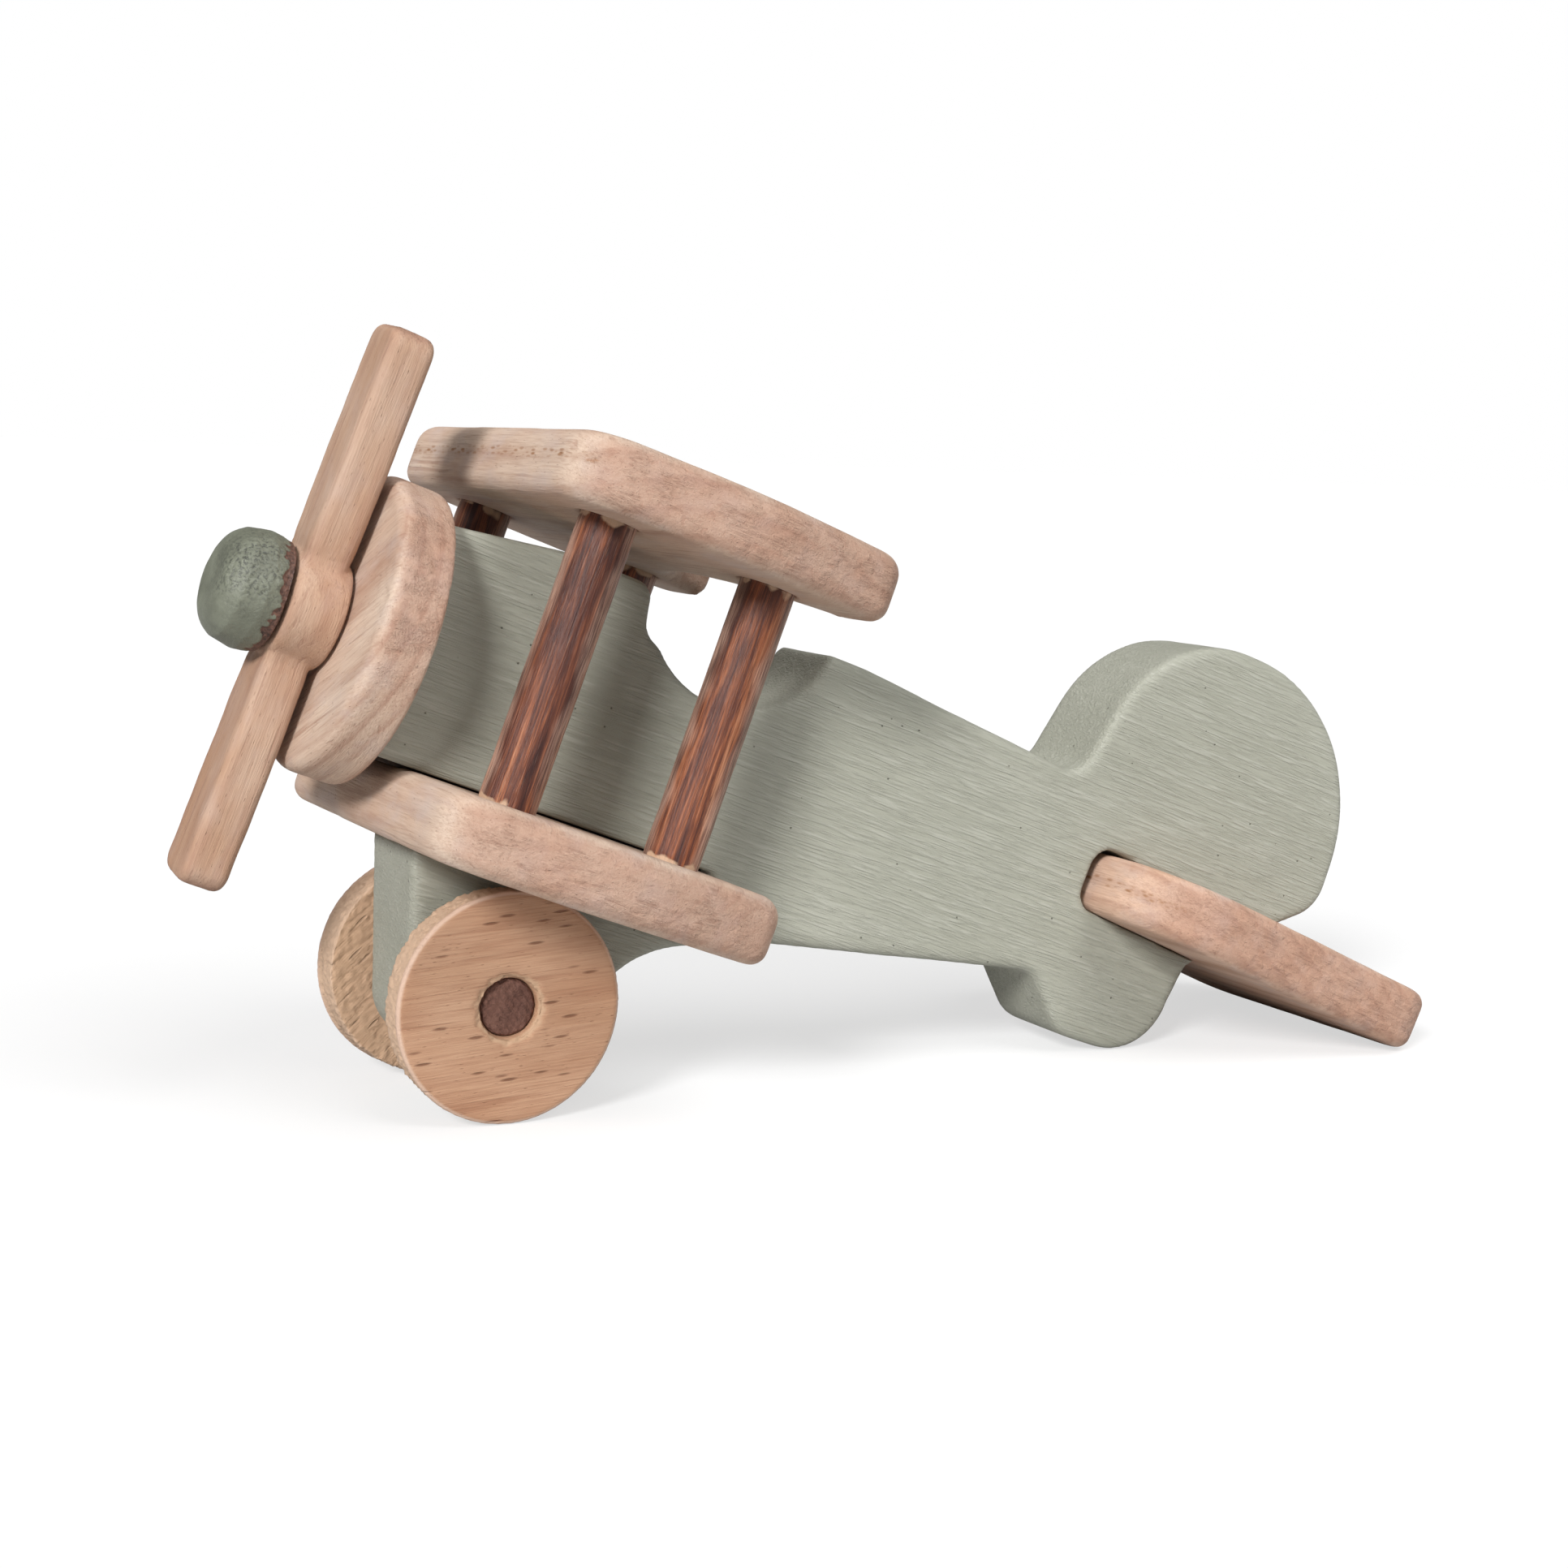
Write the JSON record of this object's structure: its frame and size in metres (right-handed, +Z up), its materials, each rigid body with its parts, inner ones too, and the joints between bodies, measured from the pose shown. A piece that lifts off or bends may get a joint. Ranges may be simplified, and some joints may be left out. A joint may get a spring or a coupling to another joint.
{
  "type": "wooden toy biplane",
  "caption": "Wooden toy biplane with a flat painted fuselage, dowel struts between two boards for wings, a spinning propeller and wheels on a turning axle.",
  "frame": {"origin": "middle of the bounding box in X and Y, on the floor under the wheels and tail lobe", "axes": "+X to the tail, +Y to starboard, +Z up"},
  "size_m": [0.244, 0.0962, 0.1337],
  "materials": {
    "sage_paint": "brushed matt sage paint over wood grain",
    "spinner_paint": "thick pitted sage paint",
    "board_beech": "raw sanded beech board",
    "propeller_beech": "raw sanded beech, warm",
    "strut_wood": "stained dowel with long grain",
    "wheel_beech": "raw beech with short dark flecks",
    "axle_wood": "rough dowel end grain",
    "hidden_dowel": "raw dowel"
  },
  "bodies": {
    "airframe": {"fuselage": "sage_paint", "nose_disc": "board_beech", "lower_wing": "board_beech", "upper_wing": "board_beech", "tailplane": "board_beech", "strut_front_port": "strut_wood", "strut_front_starboard": "strut_wood", "strut_rear_port": "strut_wood", "strut_rear_starboard": "strut_wood", "spinner": "spinner_paint", "spinner_dowel": "hidden_dowel"},
    "propeller": {"propeller": "propeller_beech"},
    "wheelset": {"axle": "axle_wood", "wheel_port": "wheel_beech", "wheel_starboard": "wheel_beech"}
  },
  "joints": [
    {"name": "propeller_spin", "type": "hinge", "parent": "airframe", "child": "propeller", "pos_m": [-0.10122, 0, 0.08533], "axis": [-0.9416, 0, 0.3367], "continuous": true},
    {"name": "wheel_spin", "type": "hinge", "parent": "airframe", "child": "wheelset", "pos_m": [-0.07117, 0, 0.02], "axis": [0, 1, 0], "continuous": true}
  ]
}
